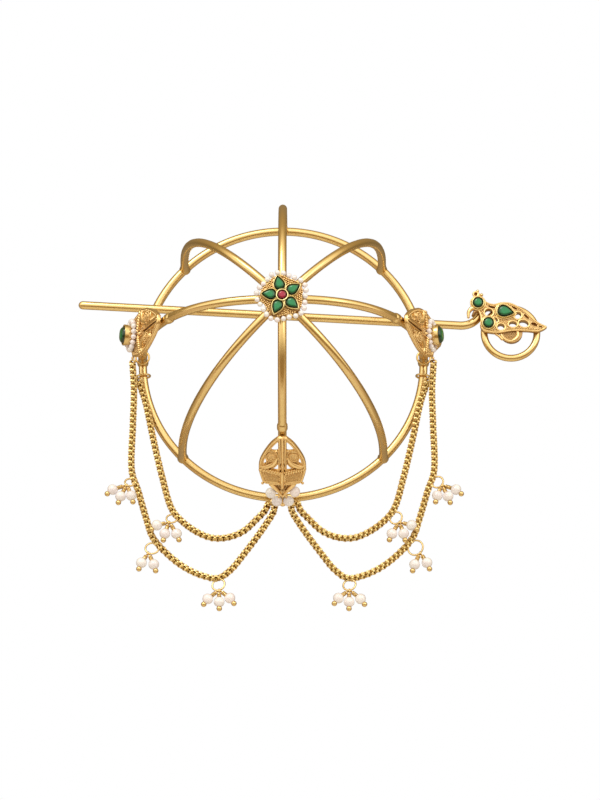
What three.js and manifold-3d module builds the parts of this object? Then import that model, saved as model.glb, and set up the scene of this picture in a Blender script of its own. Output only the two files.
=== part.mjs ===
// A hair bun cage: a wire dome worn over a bun, and the long hair stick that pins it there.
// The base ring stands upright in the XZ plane round the origin, and the dome's apex points to -Y.
// Two chains hang from each side and meet again under the ring. All sizes are in millimetres.
import * as THREE from "three";
import { mergeVertices } from "three/addons/utils/BufferGeometryUtils.js";
import Module from "manifold-3d";

// Driving dimensions
const RING_RADIUS = 40;
const WIRE_RADIUS = 1.2;
const DOME_HEIGHT = 55;
const DOME_POWER = 2.35;
const HOOP_COUNT = 4;
const SEAT_GAP = 0.3;

const FLOWER_TURN = THREE.MathUtils.degToRad(31.5);
const PETAL_COUNT = 5;
const PETAL_LENGTH = 3.8;
const PETAL_WIDTH = 2.7;
const RUBY_RADIUS = 1.25;
const BEZEL_WALL = 0.4;
const FLOWER_RADIUS = 5.65;
const FLOWER_LOBE = 0.4;
const SEED_PEARL_RADIUS = 0.75;

const CREST_FOOT = { radius: 42.2, height: 20 };
const CREST_TIP = { radius: 34, height: 38 };
const CREST_THICKNESS = 0.8;
const CREST_HALF_WIDTH = 6.7;
const ROSETTE_RADIUS = 1.65;
const COLLAR_RADIUS = 1.55;

const GEM_SEAT = { radius: 43.9, height: 20.6 };
const GEM_TILT = THREE.MathUtils.degToRad(15);
const GEM_RADIUS = 2.4;
const GEM_STRING_RADIUS = 4;

const CHAIN_RADIUS = 0.8;
const CHAIN_DEPTH = 2.4;
const CHAIN_STEP = 4.7;
const LOOP_WIRE = 0.4;
const RING_LOOP_TURN = 0.1;
const BOTTOM_LOOP_TURN = 0.095;
const EYE_WIRE = 0.28;
const CLUSTER_EYE_RADIUS = 0.68;
const JUMP_RING_RADIUS = 1.7;
const JUMP_RING_WIRE = 0.25;
const PEARL_RADIUS = 1.5;
const PEARL_LIFT = 1.35;
const BALL_RADIUS = 0.78;

const STICK_RADIUS = 1.25;
const STICK_DEPTH = 2.7;
const STICK_TIP = { x: -58.5, z: 16.6 };
const STICK_ELBOW = { x: 50.5, z: 10.4 };
const BIRD = { x: 63.35, z: 14.6 };
const BIRD_THICKNESS = 1.2;
const FINIAL_RING_RADIUS = 7.5;
const FINIAL_RING_WIRE = 1;

// Finishes
const gold = () => new THREE.MeshStandardMaterial({ color: 0xd4a54b, metalness: 1, roughness: 0.32 });
const emerald = () => new THREE.MeshStandardMaterial({ color: 0x0e7f55, metalness: 0, roughness: 0.15 });
const ruby = () => new THREE.MeshStandardMaterial({ color: 0xb0203e, metalness: 0, roughness: 0.15 });
const pearl = () => new THREE.MeshStandardMaterial({ color: 0xebe1dc, metalness: 0, roughness: 0.25 });

const wasm = await Module();
wasm.setup();

const cage = new THREE.Group();
const stick = new THREE.Group();
const bunCage = new THREE.Group();
bunCage.add(cage, stick);

function solidOf(geometry) {
  const bare = geometry.clone();
  bare.deleteAttribute("normal");
  bare.deleteAttribute("uv");
  const merged = mergeVertices(bare, 1e-3);
  const mesh = new wasm.Mesh({
    numProp: 3,
    vertProperties: merged.attributes.position.array,
    triVerts: new Uint32Array(merged.index.array),
  });
  return new wasm.Manifold(mesh);
}

function geometryOf(solid) {
  const mesh = solid.getMesh();
  const geometry = new THREE.BufferGeometry();
  geometry.setAttribute("position", new THREE.BufferAttribute(mesh.vertProperties, 3));
  geometry.setIndex(new THREE.BufferAttribute(mesh.triVerts, 1));
  geometry.computeVertexNormals();
  return geometry;
}

// One closed surface round all the geometries given.
function fused(geometries) {
  return geometryOf(geometries.map(solidOf).reduce((whole, piece) => whole.add(piece)));
}

function addPiece(group, name, geometry, material) {
  const mesh = new THREE.Mesh(geometry, material);
  mesh.name = name;
  group.add(mesh);
  return mesh;
}

// A group whose +Z looks outward and whose +Y runs along, with its origin at a point.
function seatedGroup(parent, origin, along, outward) {
  const across = new THREE.Vector3().crossVectors(along, outward);
  const group = new THREE.Group();
  group.applyMatrix4(new THREE.Matrix4().makeBasis(across, along, outward).setPosition(origin));
  parent.add(group);
  return group;
}

// A point of the dome's space: distance from the axis, angle round it, height towards the apex.
function domePoint(radius, angle, height) {
  return new THREE.Vector3(radius * Math.cos(angle), -height, radius * Math.sin(angle));
}

// The ribs' centreline is a superellipse, steep at the ring and flat over the apex.
function ribRadius(height) {
  const share = Math.pow(height / DOME_HEIGHT, DOME_POWER);
  return RING_RADIUS * Math.pow(1 - share, 1 / DOME_POWER);
}

// One wire from the ring, over the apex and down to the ring on the other side.
class Hoop extends THREE.Curve {
  constructor(angle) {
    super();
    this.angle = angle;
  }
  getPoint(share, target = new THREE.Vector3()) {
    const turn = Math.PI * share;
    const side = Math.cos(turn);
    const radius = RING_RADIUS * Math.sign(side) * Math.pow(Math.abs(side), 2 / DOME_POWER);
    const height = DOME_HEIGHT * Math.pow(Math.abs(Math.sin(turn)), 2 / DOME_POWER);
    return target.copy(domePoint(radius, this.angle, height));
  }
}

function polygon(sides, pointAt) {
  const shape = new THREE.Shape();
  shape.setFromPoints(Array.from({ length: sides }, (_, i) => pointAt((2 * Math.PI * i) / sides)));
  return shape;
}

function disc(radius, sides) {
  return polygon(sides, (a) => new THREE.Vector2(radius * Math.cos(a), radius * Math.sin(a)));
}

// A drop outline, pointed at +X, centred on its length.
function dropOutline(length, width, sides) {
  const widest = 0.77;
  return polygon(sides, (a) => {
    const x = (length / 2) * Math.cos(a);
    const y = ((width / 2) * Math.sin(a) * Math.sin(a / 2)) / widest;
    return new THREE.Vector2(x, y);
  });
}

function plate(shape, thickness, base = 0) {
  return new THREE.ExtrudeGeometry(shape, {
    depth: thickness,
    bevelEnabled: false,
    curveSegments: 5,
  }).translate(0, 0, base);
}

function wall(outer, inner, height, base) {
  outer.holes.push(inner);
  return plate(outer, height, base);
}

// A stone with a flat table, one ring of crown facets, a girdle and one ring of lower facets.
function cutStone(shape, height, base) {
  const outline = shape.getPoints();
  const sides = outline.length;
  const layers = [
    { share: 0.7, z: base },
    { share: 1, z: base + 0.3 * height },
    { share: 1, z: base + 0.55 * height },
    { share: 0.66, z: base + height },
  ];
  const spots = layers.flatMap(({ share, z }) => {
    return outline.flatMap((spot) => [spot.x * share, spot.y * share, z]);
  });
  const centres = [0, 0, base, 0, 0, base + height];
  const top = layers.length - 1;
  const faces = [];
  for (let i = 0; i < sides; i += 1) {
    const next = (i + 1) % sides;
    for (let layer = 0; layer < top; layer += 1) {
      const [low, high] = [layer * sides, (layer + 1) * sides];
      faces.push(low + i, low + next, high + next, low + i, high + next, high + i);
    }
    const middle = layers.length * sides;
    faces.push(next, i, middle, top * sides + i, top * sides + next, middle + 1);
  }
  const geometry = new THREE.BufferGeometry();
  geometry.setAttribute("position", new THREE.Float32BufferAttribute([...spots, ...centres], 3));
  geometry.setIndex(faces);
  geometry.computeVertexNormals();
  return geometry;
}

function tube(path, radius, steps, sides) {
  return new THREE.ExtrudeGeometry(disc(radius, sides), {
    steps,
    bevelEnabled: false,
    extrudePath: path,
  });
}

function rod(from, to, radius, sides = 5) {
  const span = new THREE.Vector3().subVectors(to, from);
  const up = new THREE.Vector3(0, 1, 0);
  const turn = new THREE.Quaternion().setFromUnitVectors(up, span.clone().normalize());
  return new THREE.CylinderGeometry(radius, radius, span.length(), sides)
    .applyQuaternion(turn)
    .translate(...from.clone().add(to).multiplyScalar(0.5).toArray());
}

function ball(radius, centre, sides = 10, rows = 6) {
  return new THREE.SphereGeometry(radius, sides, rows).translate(...centre.toArray());
}

// A round bead of ten sides, whose poles lie along its local Z axis.
function bead(radius, centre) {
  return ball(radius, new THREE.Vector3(), 10, 4).rotateX(Math.PI / 2).translate(...centre.toArray());
}

// A wire ring round a point, with its axis along a direction.
function wireRing(radius, wire, centre, axis, sides = 10, wireSides = 5) {
  const up = new THREE.Vector3(0, 0, 1);
  const turn = new THREE.Quaternion().setFromUnitVectors(up, axis.clone().normalize());
  return new THREE.TorusGeometry(radius, wire, wireSides, sides)
    .applyQuaternion(turn)
    .translate(...centre.toArray());
}

const RIGHT = 0;
const LEFT = Math.PI;
const BOTTOM = 1.5 * Math.PI;

// Cage frame: the base ring, four hoops, the hub disc and the solder collars above the crests.
function makeFrame() {
  const ring = new THREE.TorusGeometry(RING_RADIUS, WIRE_RADIUS, 8, 32).rotateX(Math.PI / 2);
  const hoops = Array.from({ length: HOOP_COUNT }, (_, i) => {
    return tube(new Hoop((Math.PI * i) / HOOP_COUNT), WIRE_RADIUS, 15, 8);
  });
  const hub = new THREE.CylinderGeometry(3.6, 3.6, 1.5, 12).translate(0, -DOME_HEIGHT - 0.65, 0);
  const collarSpan = 1.4;
  const collars = [RIGHT, LEFT, BOTTOM].map((angle) => {
    const [low, high] = [-collarSpan, collarSpan].map((step) => {
      const height = CREST_TIP.height + 2.2 + step;
      return domePoint(ribRadius(height), angle, height);
    });
    return rod(low, high, COLLAR_RADIUS, 8);
  });
  addPiece(cage, "cage_frame", fused([ring, ...hoops, hub, ...collars]), gold());
}

// Hub flower: five drop stones and a ruby in thin walls on a lobed plate, edged with seed pearls.
function makeFlower() {
  const apex = new THREE.Vector3(0, -DOME_HEIGHT, 0);
  const flower = seatedGroup(cage, apex, new THREE.Vector3(0, 0, 1), new THREE.Vector3(0, -1, 0));
  const plateBase = 1.4 + SEAT_GAP;
  const wallBase = plateBase + 0.7;
  const wallHeight = 1;
  const stoneBase = wallBase + SEAT_GAP / 2;
  const centreOffset = 5.5 - PETAL_LENGTH / 2;
  const lobed = (radius) => (a) => {
    const reach = radius + FLOWER_LOBE * Math.cos(PETAL_COUNT * (a - FLOWER_TURN));
    return new THREE.Vector2(reach * Math.cos(a), reach * Math.sin(a));
  };
  const pieces = [plate(polygon(25, lobed(FLOWER_RADIUS)), wallBase - plateBase, plateBase)];
  const rubyWall = RUBY_RADIUS + SEAT_GAP / 2;
  pieces.push(wall(disc(rubyWall + BEZEL_WALL, 12), disc(rubyWall, 12), wallHeight + 0.3, wallBase - 0.1));
  for (let i = 0; i < PETAL_COUNT; i += 1) {
    const turn = FLOWER_TURN + (2 * Math.PI * i) / PETAL_COUNT;
    const gap = SEAT_GAP;
    const inner = dropOutline(PETAL_LENGTH + gap, PETAL_WIDTH + gap, 10);
    const outer = dropOutline(PETAL_LENGTH + gap + 3 * BEZEL_WALL, PETAL_WIDTH + gap + 2 * BEZEL_WALL, 10);
    const bezel = wall(outer, inner, wallHeight + 0.1, wallBase - 0.1);
    pieces.push(bezel.translate(centreOffset, 0, 0).rotateZ(turn));
    const stone = cutStone(dropOutline(PETAL_LENGTH, PETAL_WIDTH, 10), 1.2, stoneBase);
    const mesh = addPiece(flower, `petal_stone_${i + 1}`, stone.translate(centreOffset, 0, 0), emerald());
    mesh.rotation.z = turn;
  }
  const well = solidOf(plate(disc(rubyWall, 12), 3, wallBase));
  const petals = Array.from({ length: PETAL_COUNT }, (_, i) => {
    const turn = FLOWER_TURN + (2 * Math.PI * i) / PETAL_COUNT;
    const outline = dropOutline(PETAL_LENGTH + SEAT_GAP, PETAL_WIDTH + SEAT_GAP, 10);
    return solidOf(plate(outline, 3, wallBase).translate(centreOffset, 0, 0).rotateZ(turn));
  });
  const setting = [well, ...petals].reduce((whole, pit) => whole.subtract(pit), solidOf(fused(pieces)));
  addPiece(flower, "flower_setting", geometryOf(setting), gold());
  addPiece(flower, "flower_ruby", cutStone(disc(RUBY_RADIUS, 12), 1.5, stoneBase), ruby());

  const string = new THREE.TorusGeometry(1, SEED_PEARL_RADIUS, 6, 25);
  const spots = string.attributes.position;
  for (let i = 0; i < spots.count; i += 1) {
    const [x, y] = [spots.getX(i), spots.getY(i)];
    const angle = Math.atan2(y, x);
    const centreline = FLOWER_RADIUS + SEAT_GAP + SEED_PEARL_RADIUS;
    const reach = centreline + FLOWER_LOBE * Math.cos(PETAL_COUNT * (angle - FLOWER_TURN));
    const radius = reach + Math.hypot(x, y) - 1;
    spots.setXY(i, radius * Math.cos(angle), radius * Math.sin(angle));
  }
  addPiece(flower, "flower_pearl_string", string.translate(0, 0, 2.1), pearl());
}

// The rib side of a crest: its frame in the dome's space at an angle round the axis.
const crestRun = new THREE.Vector2(
  CREST_TIP.radius - CREST_FOOT.radius,
  CREST_TIP.height - CREST_FOOT.height,
);
const crestLength = crestRun.length();

function crestGroup(angle) {
  const { x: inward, y: rise } = crestRun.clone().normalize();
  const along = domePoint(inward, angle, rise);
  const outward = domePoint(rise, angle, -inward);
  return seatedGroup(cage, domePoint(CREST_FOOT.radius, angle, CREST_FOOT.height), along, outward);
}

function outlineShape(points) {
  const shape = new THREE.Shape();
  shape.setFromPoints(points.map(([x, y]) => new THREE.Vector2(x, y)));
  return shape;
}

function mirrored(points) {
  return points.map(([x, y]) => [-x, y]).reverse();
}

// Crest: a pierced leaf on a rib's shoulder, with a raised bar, two domed rosettes and a rope line.
function makeCrest(name, angle, extras = []) {
  const group = crestGroup(angle);
  const rightEdge = [
    [0, -0.6],
    [5.5, 0],
    [CREST_HALF_WIDTH - 0.2, 3.6],
    [CREST_HALF_WIDTH, 6.8],
    [6.1, 10],
    [4.6, 13.6],
    [2.6, 16.9],
    [0.7, crestLength],
  ];
  const body = outlineShape([...rightEdge, ...mirrored(rightEdge.slice(1))]);
  const lancet = [
    [1.3, 15],
    [3.3, 14.5],
    [2.4, 16.2],
    [1.25, 17.4],
  ];
  const outerGap = [
    [4.7, 9.6],
    [5.6, 7.8],
    [5.4, 10.2],
    [4.9, 11.2],
  ];
  const innerGap = [
    [1, 5.6],
    [3, 6.4],
    [2.2, 7.3],
    [1.2, 8.6],
  ];
  [lancet, outerGap, innerGap].forEach((gap) => {
    body.holes.push(outlineShape(gap), outlineShape(mirrored(gap)));
  });
  const cup = outlineShape([
    [0, -4.6],
    [1.6, -3],
    [3.6, 0.4],
    [-3.6, 0.4],
    [-1.6, -3],
  ]);
  const face = CREST_THICKNESS;
  const pieces = [
    plate(body, CREST_THICKNESS),
    plate(cup, 0.9, -0.6),
    rod(new THREE.Vector3(0, 1, face), new THREE.Vector3(0, 18, face), 0.5),
    new THREE.OctahedronGeometry(0.9).scale(0.8, 1.2, 0.8).translate(0, 7.8, face),
    rod(new THREE.Vector3(0, 5.2, -1.2), new THREE.Vector3(0, 5.2, 0.4), 0.9),
  ];
  [-1, 1].forEach((side) => {
    const rosette = ball(ROSETTE_RADIUS, new THREE.Vector3(), 10, 6).rotateX(Math.PI / 2);
    pieces.push(rosette.scale(1, 1, 0.6).translate(side * 2.9, 12.2, face));
    const leaf = ball(1.6, new THREE.Vector3(), 8, 4).scale(1, 0.42, 0.4).rotateZ(side * 0.25);
    pieces.push(leaf.translate(side * 3.5, 8.6, face));
    const ropeEnds = [new THREE.Vector3(0, 4.2, face), new THREE.Vector3(side * 6.3, 6, face)];
    pieces.push(rod(...ropeEnds, 0.45));
  });
  addPiece(group, name, fused([...pieces, ...extras]), gold());
  return group;
}

// Side gem: a domed green stone in a cup, facing away from the dome, ringed by seed pearls.
function makeGem(side, angle) {
  const along = domePoint(-Math.sin(GEM_TILT), angle, Math.cos(GEM_TILT));
  const outward = domePoint(Math.cos(GEM_TILT), angle, Math.sin(GEM_TILT));
  const gem = seatedGroup(cage, domePoint(GEM_SEAT.radius, angle, GEM_SEAT.height), along, outward);
  const rim = GEM_RADIUS + SEAT_GAP / 2;
  const cupProfile = [
    [0, -0.8],
    [rim + BEZEL_WALL, -0.8],
    [rim + BEZEL_WALL, 2.2],
    [rim, 2.2],
    [rim, 1],
    [0, 1],
  ].map(([x, y]) => new THREE.Vector2(x, y));
  const cup = new THREE.LatheGeometry(cupProfile, 16).rotateX(Math.PI / 2);
  addPiece(gem, `gem_cup_${side}`, fused([cup]), gold());
  addPiece(gem, `gem_stone_${side}`, cutStone(disc(GEM_RADIUS, 12), 1.9, 1 + SEAT_GAP / 2), emerald());
  const string = new THREE.TorusGeometry(GEM_STRING_RADIUS, SEED_PEARL_RADIUS, 6, 16);
  addPiece(gem, `gem_pearl_string_${side}`, string, pearl());
}

// The four pearls under the bottom crest, each on a pin of its own, and the ball between them.
const CREST_PEARLS = [
  { name: "left_upper", x: -3.5, y: -3 },
  { name: "left_lower", x: -1.85, y: -6.5 },
  { name: "right_lower", x: 1.85, y: -6.5 },
  { name: "right_upper", x: 3.5, y: -3 },
];

function makeBottomCrest() {
  const heart = new THREE.Vector3(0, -2.6, 0.4);
  const pins = CREST_PEARLS.map(({ x, y }) => {
    const centre = new THREE.Vector3(x, y, 0.6);
    const reach = centre.clone().sub(heart);
    const end = heart.clone().addScaledVector(reach, 1 - (PEARL_RADIUS + SEAT_GAP) / reach.length());
    return rod(heart, end, 0.35);
  });
  const endBall = new THREE.Vector3(0, -8.4, 0.4);
  const extras = [...pins, rod(heart, endBall, 0.35), ball(1, endBall, 10, 4)];
  const group = makeCrest("crest_bottom", BOTTOM, extras);
  CREST_PEARLS.forEach(({ name, x, y }) => {
    addPiece(group, `crest_pearl_${name}`, bead(PEARL_RADIUS, new THREE.Vector3(x, y, 0.6)), pearl());
  });
}

// Chain routes of the left side, top end first. Each leaves its loop straight down and turns
// sharply where a cluster of pearls pulls on it.
const OUTER_ROUTE = [
  [-42.9, -1.4],
  [-42.9, -9.6],
  [-43.1, -19.8],
  [-43.2, -33.6],
  [-41.4, -39.2],
  [-38.9, -47.8],
  [-37, -53],
  [-33, -57.8],
  [-28.2, -61.6],
  [-23, -64.2],
  [-18.6, -65],
  [-15.4, -62.6],
  [-12.5, -58.8],
  [-5.8, -49.2],
  [-3, -44.2],
];
const INNER_ROUTE = [
  [-41.2, -6.4],
  [-39.6, -13],
  [-37.6, -22],
  [-34.6, -35],
  [-31.6, -44.8],
  [-28.6, -48.4],
  [-24.2, -51.6],
  [-20, -53.2],
  [-15.6, -53],
  [-11.2, -51.2],
  [-7.4, -47.6],
  [-4.9, -44],
];

function chainPath(route, startDepth, side) {
  const settled = 3;
  const points = route.map(([x, z], i) => {
    const depth = THREE.MathUtils.lerp(startDepth, CHAIN_DEPTH, Math.min(1, i / settled));
    return new THREE.Vector3(-side * x, -depth, z);
  });
  return new THREE.CatmullRomCurve3(points, false, "centripetal");
}

// Clusters of the left side: where the jump ring's centre is, and each drop's angle in degrees
// from straight down and its pearl's distance from that centre.
const CLUSTERS = [
  {
    x: -44.9,
    z: -35.8,
    drops: [
      { degrees: -50, reach: 5.2 },
      { degrees: -17.5, reach: 5.6 },
      { degrees: 15, reach: 5.3 },
    ],
  },
  {
    x: -32.6,
    z: -47.4,
    drops: [
      { degrees: -50, reach: 4.5 },
      { degrees: -14, reach: 5.3 },
      { degrees: 20, reach: 5.6 },
    ],
  },
  {
    x: -38.1,
    z: -56.6,
    drops: [
      { degrees: -33.5, reach: 4.9 },
      { degrees: 5, reach: 5.3 },
    ],
  },
  {
    x: -18.4,
    z: -67.5,
    drops: [
      { degrees: -36, reach: 5.4 },
      { degrees: 0, reach: 5.2 },
      { degrees: 36, reach: 5.3 },
    ],
  },
];
const CLUSTER_DEPTH = CHAIN_DEPTH + CHAIN_RADIUS + JUMP_RING_WIRE + 0.25;

// One drop: a neck from the shared eye, a pearl, and the gold ball that closes the pin under it.
// The pearls stand forward of their jump ring, clear of the chains behind them.
function dropPieces(angle, reach) {
  const down = new THREE.Vector3(Math.sin(angle), 0, -Math.cos(angle));
  const eyeFoot = new THREE.Vector3(0, 0, -JUMP_RING_RADIUS - CLUSTER_EYE_RADIUS);
  const centre = down.clone().multiplyScalar(reach).setY(-PEARL_LIFT);
  const end = centre.clone().addScaledVector(down, PEARL_RADIUS + 0.4);
  const endBall = new THREE.IcosahedronGeometry(BALL_RADIUS).translate(...end.toArray());
  return [rod(eyeFoot, centre, 0.3), bead(PEARL_RADIUS, centre), endBall];
}

function makeSide(sideName, side) {
  const angle = side > 0 ? RIGHT : LEFT;
  const loopRadius = WIRE_RADIUS + 2 * SEAT_GAP + 0.1;
  const loopAround = (centre, axis) => wireRing(loopRadius, LOOP_WIRE, centre, axis);
  const tangent = (at) => new THREE.Vector3(-Math.sin(at), 0, Math.cos(at));
  const ribLoop = loopAround(domePoint(ribRadius(5), angle, 5), new THREE.Vector3(0, 1, 0));
  addPiece(cage, `rib_loop_${sideName}`, ribLoop, gold());
  const ringAngle = angle - side * RING_LOOP_TURN;
  const ringLoop = loopAround(domePoint(RING_RADIUS, ringAngle, 0), tangent(ringAngle));
  addPiece(cage, `ring_loop_${sideName}`, ringLoop, gold());
  const bottomAngle = BOTTOM + side * BOTTOM_LOOP_TURN;
  const bottomLoop = loopAround(domePoint(RING_RADIUS, bottomAngle, 0), tangent(bottomAngle));
  addPiece(cage, `bottom_loop_${sideName}`, bottomLoop, gold());

  const chains = { outer: chainPath(OUTER_ROUTE, 5, side), inner: chainPath(INNER_ROUTE, 2.8, side) };
  Object.entries(chains).forEach(([row, path]) => {
    const steps = Math.round(path.getLength() / CHAIN_STEP);
    addPiece(cage, `chain_${row}_${sideName}`, tube(path, CHAIN_RADIUS, steps, 8), gold());
  });

  CLUSTERS.forEach(({ x, z, drops }, i) => {
    const hung = new THREE.Group();
    hung.position.set(-side * x, -CLUSTER_DEPTH, z);
    cage.add(hung);
    const forward = new THREE.Vector3(0, 1, 0);
    const ring = wireRing(JUMP_RING_RADIUS, JUMP_RING_WIRE, new THREE.Vector3(), forward);
    addPiece(hung, `jump_ring_${sideName}_${i + 1}`, ring, gold());
    const eyeCentre = new THREE.Vector3(0, 0, -JUMP_RING_RADIUS);
    const eye = wireRing(CLUSTER_EYE_RADIUS, EYE_WIRE, eyeCentre, new THREE.Vector3(1, 0, 0), 8);
    const pieces = drops.flatMap(({ degrees, reach }) => {
      return dropPieces(-side * THREE.MathUtils.degToRad(degrees), reach);
    });
    addPiece(hung, `pearl_cluster_${sideName}_${i + 1}`, fused([eye, ...pieces]), pearl());
  });
}

// The stick's centreline: one straight stretch as its first ninth, then the bend.
class StickLine extends THREE.Curve {
  constructor(tip, bend) {
    super();
    this.tip = tip;
    this.bend = bend;
  }
  getUtoTmapping(share) {
    return share;
  }
  getPoint(share) {
    const along = 9 * share;
    if (along < 1) return this.tip.clone().lerp(this.bend.v0, along);
    return this.bend.getPoint((along - 1) / 8);
  }
}

// Hair stick: a straight rod whose end bends up behind a pierced bird, with a wire ring under it.
function makeStick() {
  const at = (x, z) => new THREE.Vector3(x, -STICK_DEPTH, z);
  const neck = at(BIRD.x - 7.4, BIRD.z - 0.2);
  const elbow = at(STICK_ELBOW.x, STICK_ELBOW.z);
  const corner = at(STICK_ELBOW.x + 3.6, STICK_ELBOW.z - 0.1);
  const bend = new THREE.QuadraticBezierCurve3(elbow, corner, neck);
  const line = new StickLine(at(STICK_TIP.x, STICK_TIP.z), bend);
  addPiece(stick, "stick_rod", tube(line, STICK_RADIUS, 9, 10), gold());

  const group = new THREE.Group();
  group.position.set(BIRD.x, -STICK_DEPTH - STICK_RADIUS - SEAT_GAP, BIRD.z);
  group.rotation.x = Math.PI / 2;
  stick.add(group);
  const outline = [
    [-7.3, -0.6],
    [-8.7, 0.4],
    [-9.8, -0.2],
    [-11.1, -2],
    [-10.75, 0.9],
    [-9.4, 2],
    [-9.4, 3.6],
    [-8.8, 4.6],
    [-6.7, 4.7],
    [-5.6, 3.9],
    [-3.7, 3.1],
    [-1, 3.2],
    [1.9, 2.9],
    [4.3, 1.5],
    [6.8, -0.6],
    [8.6, -2.4],
    [10.5, -3.6],
    [11.9, -4.6],
    [10.5, -5.7],
    [8.5, -6.4],
    [4.7, -6.4],
    [4.4, -8],
    [3.2, -9.3],
    [1.4, -9.6],
    [-0.4, -8.8],
    [-2.9, -7],
    [-5.8, -6.8],
    [-7, -5.8],
    [-7.2, -3.2],
  ];
  const holes = [
    { x: -4.8, y: 0, wide: 1.15, high: 1.15 },
    { x: -2.95, y: -2.3, wide: 0.8, high: 0.75 },
    { x: -1.25, y: -4.6, wide: 1.1, high: 0.9 },
    { x: 1.9, y: -3.8, wide: 1.05, high: 0.75 },
    { x: 5, y: -3.7, wide: 1.2, high: 0.75 },
    { x: 3.6, y: -1.1, wide: 0.8, high: 0.8 },
    { x: 8.2, y: -4.3, wide: 0.7, high: 0.5 },
  ];
  const shape = outlineShape(outline);
  holes.forEach(({ x, y, wide, high }) => {
    const rim = (a) => new THREE.Vector2(x + wide * Math.cos(a), y + high * Math.sin(a));
    shape.holes.push(polygon(8, rim));
  });
  const face = BIRD_THICKNESS;
  const stones = {
    bird_eye_stone: { x: -7.8, y: 2.9, turn: 0, cut: (grow) => disc(1.35 + grow, 12) },
    bird_wing_stone: {
      x: 0,
      y: 0,
      turn: -0.35,
      cut: (grow) => dropOutline(4.5 + 2.6 * grow, 3.2 + 2 * grow, 14),
    },
    bird_breast_stone: { x: -5, y: -3.45, turn: 0, cut: (grow) => disc(1.4 + grow, 12) },
  };
  const pieces = [plate(shape, BIRD_THICKNESS)];
  const plume = [
    { x: -8.8, y: 6, radius: 0.95 },
    { x: -7.75, y: 7.1, radius: 0.85 },
    { x: -6.7, y: 5.8, radius: 0.75 },
  ];
  plume.forEach(({ x, y, radius }) => {
    const lobe = new THREE.CylinderGeometry(radius, radius, 1, 8).rotateX(Math.PI / 2);
    pieces.push(lobe.translate(x, y, 0.6));
    pieces.push(rod(new THREE.Vector3(-7.7, 4, 0.6), new THREE.Vector3(x, y, 0.6), 0.45));
  });
  Object.entries(stones).forEach(([name, { x, y, turn, cut }]) => {
    const bezel = wall(cut(SEAT_GAP / 2 + BEZEL_WALL), cut(SEAT_GAP / 2), 1, face - 0.1);
    pieces.push(bezel.rotateZ(turn).translate(x, y, 0));
    const mesh = addPiece(group, name, cutStone(cut(0), 1.2, face + SEAT_GAP / 2), emerald());
    mesh.position.set(x, y, 0);
    mesh.rotation.z = turn;
  });
  addPiece(group, "bird_plate", fused(pieces), gold());
  const ring = new THREE.TorusGeometry(FINIAL_RING_RADIUS, FINIAL_RING_WIRE, 8, 20);
  const ringMesh = addPiece(group, "finial_ring", ring, gold());
  ringMesh.position.set(1.45, -6.05, -FINIAL_RING_WIRE - SEAT_GAP);
}

makeFrame();
makeFlower();
makeCrest("crest_left", LEFT);
makeCrest("crest_right", RIGHT);
makeBottomCrest();
makeGem("left", LEFT);
makeGem("right", RIGHT);
makeSide("left", -1);
makeSide("right", 1);
makeStick();

export default bunCage;
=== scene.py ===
import math
import random

import bmesh
import bpy
import numpy as np
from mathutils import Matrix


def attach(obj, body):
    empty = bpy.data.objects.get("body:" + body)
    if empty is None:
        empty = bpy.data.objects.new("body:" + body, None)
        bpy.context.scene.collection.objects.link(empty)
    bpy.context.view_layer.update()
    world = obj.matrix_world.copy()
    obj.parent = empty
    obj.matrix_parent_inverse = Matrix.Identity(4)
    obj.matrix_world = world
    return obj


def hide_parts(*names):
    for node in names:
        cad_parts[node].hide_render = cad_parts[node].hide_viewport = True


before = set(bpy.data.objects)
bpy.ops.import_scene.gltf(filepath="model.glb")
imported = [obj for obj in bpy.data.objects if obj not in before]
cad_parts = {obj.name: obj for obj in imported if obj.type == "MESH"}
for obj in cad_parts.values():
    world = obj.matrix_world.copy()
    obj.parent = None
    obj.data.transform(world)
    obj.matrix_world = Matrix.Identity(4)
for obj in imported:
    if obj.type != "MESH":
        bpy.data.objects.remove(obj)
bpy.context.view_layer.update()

MM = 0.001  # one millimetre in metres: every size below is in millimetres


# Camera and studio: the cage stands in front of a white sweep, seen from a little below its
# ring and straight into the dome, from so far that near and far wires keep their proportion.
CAMERA_BELOW = math.radians(17.7)
CAMERA_DISTANCE = 960
CAMERA_SIDE = 4.8
CAMERA_DROP = 10.5
DOME_MIDDLE = (0, -25, -10)
view_line = np.array([0, math.cos(CAMERA_BELOW), math.sin(CAMERA_BELOW)])
view_up = np.array([0, -math.sin(CAMERA_BELOW), math.cos(CAMERA_BELOW)])
view_side = np.array([1, 0, 0])
camera_data = bpy.data.cameras.new("studio_camera")
camera_data.lens = 151.5
camera_data.sensor_width = 36
camera_data.clip_start = 0.05
camera_data.clip_end = 20
camera_spot = -CAMERA_DISTANCE * view_line + CAMERA_SIDE * view_side - CAMERA_DROP * view_up


def placed(name, data, turn=np.eye(3), spot=(0, 0, 0)):
    """A new object in the scene, with its own X, Y and Z along the columns of turn."""
    thing = bpy.data.objects.new(name, data)
    bpy.context.scene.collection.objects.link(thing)
    axes = np.eye(4)
    axes[:3, :3] = turn
    axes[:3, 3] = np.array(spot) * MM
    thing.matrix_world = axes.T.tolist()
    return thing


camera_turn = np.column_stack([view_side, view_up, -view_line])
bpy.context.scene.camera = placed("studio_camera", camera_data, camera_turn, camera_spot)
bpy.context.scene.view_settings.view_transform = "Standard"


def colour(hex_code):
    """An sRGB colour such as "D4A54B" as linear red, green, blue and alpha."""
    shares = [int(hex_code[i : i + 2], 16) / 255 for i in (0, 2, 4)]
    return [s / 12.92 if s <= 0.04045 else ((s + 0.055) / 1.055) ** 2.4 for s in shares] + [1]


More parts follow.
